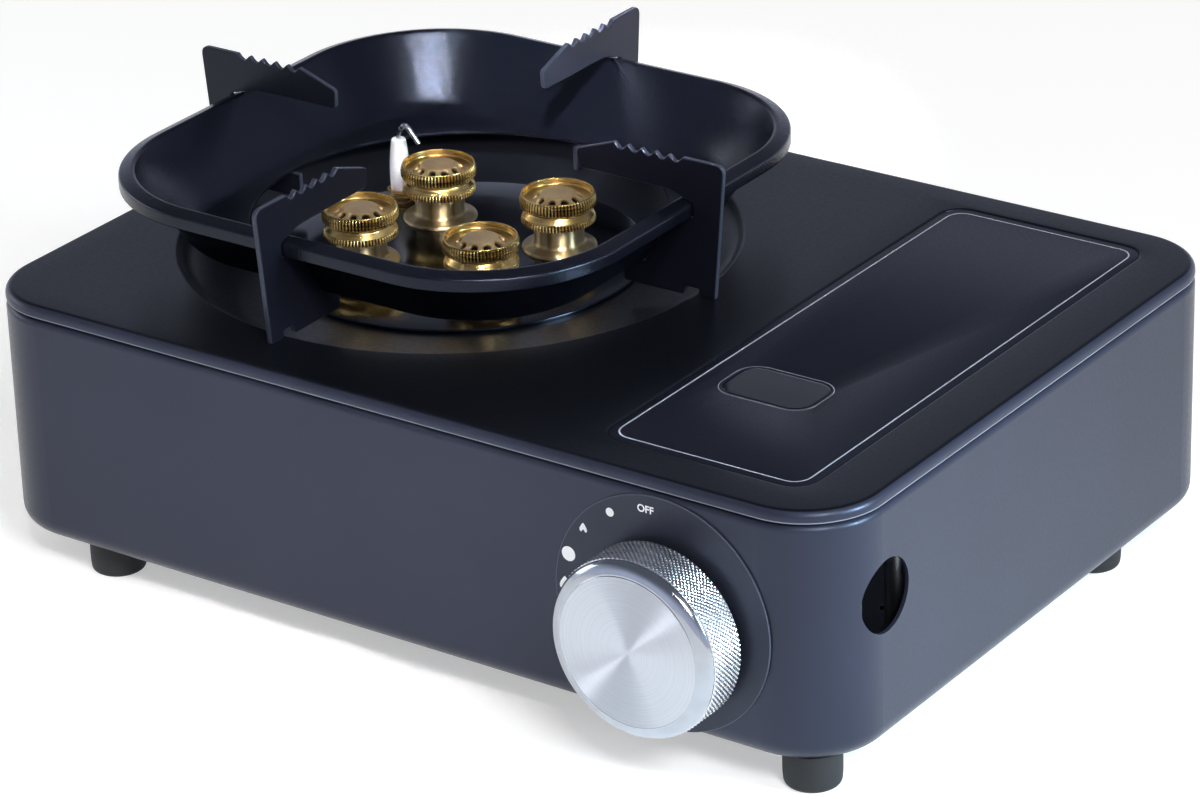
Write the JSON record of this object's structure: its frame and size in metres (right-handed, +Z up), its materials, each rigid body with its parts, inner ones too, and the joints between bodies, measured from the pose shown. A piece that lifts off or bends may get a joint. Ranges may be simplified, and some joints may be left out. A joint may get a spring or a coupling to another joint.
{
  "type": "portable gas stove",
  "caption": "Compact cassette gas stove with brass burner heads, a lift-off wind bowl with serrated pot-support fins, a turned knob and a cartridge bay.",
  "frame": {"origin": "middle of the footprint, knob included, on the table under the feet", "axes": "+X to the user's right along the front, +Y from the knob to the back, +Z up"},
  "size_m": [0.275, 0.2144, 0.1193],
  "materials": {
    "body_coat": "satin powder coat",
    "bowl_coat": "semi-gloss non-stick coat",
    "brass": "machined",
    "burner_plate_steel": "dark brushed",
    "burner_stem_brass": "machined, pale",
    "clear_lens": "clear, polished",
    "dark_plastic": "matt",
    "dial_coat": "satin",
    "die_cast": "as cast",
    "fin_coat": "satin",
    "inlay_coat": "satin",
    "knob_aluminium": "turned and knurled",
    "lead_sleeve": "matt",
    "magnet": "plated",
    "rubber": "matt",
    "top_coat": "satin powder coat",
    "white_ceramic": "plain",
    "zinc_steel": "zinc plated"
  },
  "bodies": {
    "stove": {"body_tray": "body_coat", "bracket_screw_left": "zinc_steel", "bracket_screw_right": "zinc_steel", "burner_head_back_left": "brass", "burner_head_back_right": "brass", "burner_head_front_left": "brass", "burner_head_front_right": "brass", "burner_plate": "burner_plate_steel", "burner_stem_back_left": "burner_stem_brass", "burner_stem_back_right": "burner_stem_brass", "burner_stem_front_left": "burner_stem_brass", "burner_stem_front_right": "burner_stem_brass", "cradle_left": "zinc_steel", "cradle_right": "zinc_steel", "deck_post_back_left": "zinc_steel", "deck_post_back_right": "zinc_steel", "deck_post_front_left": "zinc_steel", "deck_post_front_right": "zinc_steel", "deck_screw_back_left": "zinc_steel", "deck_screw_back_right": "zinc_steel", "deck_screw_front_left": "zinc_steel", "deck_screw_front_right": "zinc_steel", "dial_plate": "dial_coat", "foot_back_left": "rubber", "foot_back_right": "rubber", "foot_front_left": "rubber", "foot_front_right": "rubber", "foot_screw_back_left": "zinc_steel", "foot_screw_back_right": "zinc_steel", "foot_screw_front_left": "zinc_steel", "foot_screw_front_right": "zinc_steel", "gas_pipe": "zinc_steel", "guide_plate": "zinc_steel", "igniter_collar": "brass", "igniter_post": "white_ceramic", "igniter_wire": "zinc_steel", "inlay_plate": "inlay_coat", "jet": "brass", "magnet_ring": "magnet", "manifold": "die_cast", "mixing_tube": "zinc_steel", "partition": "zinc_steel", "sight_window": "clear_lens", "spark_lead": "lead_sleeve", "spark_unit": "dark_plastic", "top_plate": "top_coat", "valve_body": "die_cast", "valve_bracket": "zinc_steel"},
    "knob_set": {"knob": "knob_aluminium", "knob_grub_screw": "zinc_steel", "valve_shaft": "zinc_steel", "striker_cam": "dark_plastic"},
    "push_rod": {"spark_plunger": "dark_plastic"},
    "trivet": {"wind_bowl": "bowl_coat", "fin_front": "fin_coat", "fin_right": "fin_coat", "fin_back": "fin_coat", "fin_left": "fin_coat"}
  },
  "joints": [
    {"name": "knob_turn", "type": "hinge", "parent": "stove", "child": "knob_set", "pos_m": [0.0879, -0.0898, 0.0404], "axis": [0, -1, 0], "range_deg": [0, 100]},
    {"name": "spark_push", "type": "slide", "parent": "stove", "child": "push_rod", "axis": [-1, 0, 0], "range_m": [0, 0.0052]},
    {"name": "trivet_lift", "type": "slide", "parent": "stove", "child": "trivet", "axis": [0, 0, 1], "range_m": [0, 0.06]}
  ],
  "couplings": [
    {"joint": "spark_push", "follows": "knob_turn", "m_per_rad": 0.0028648}
  ]
}
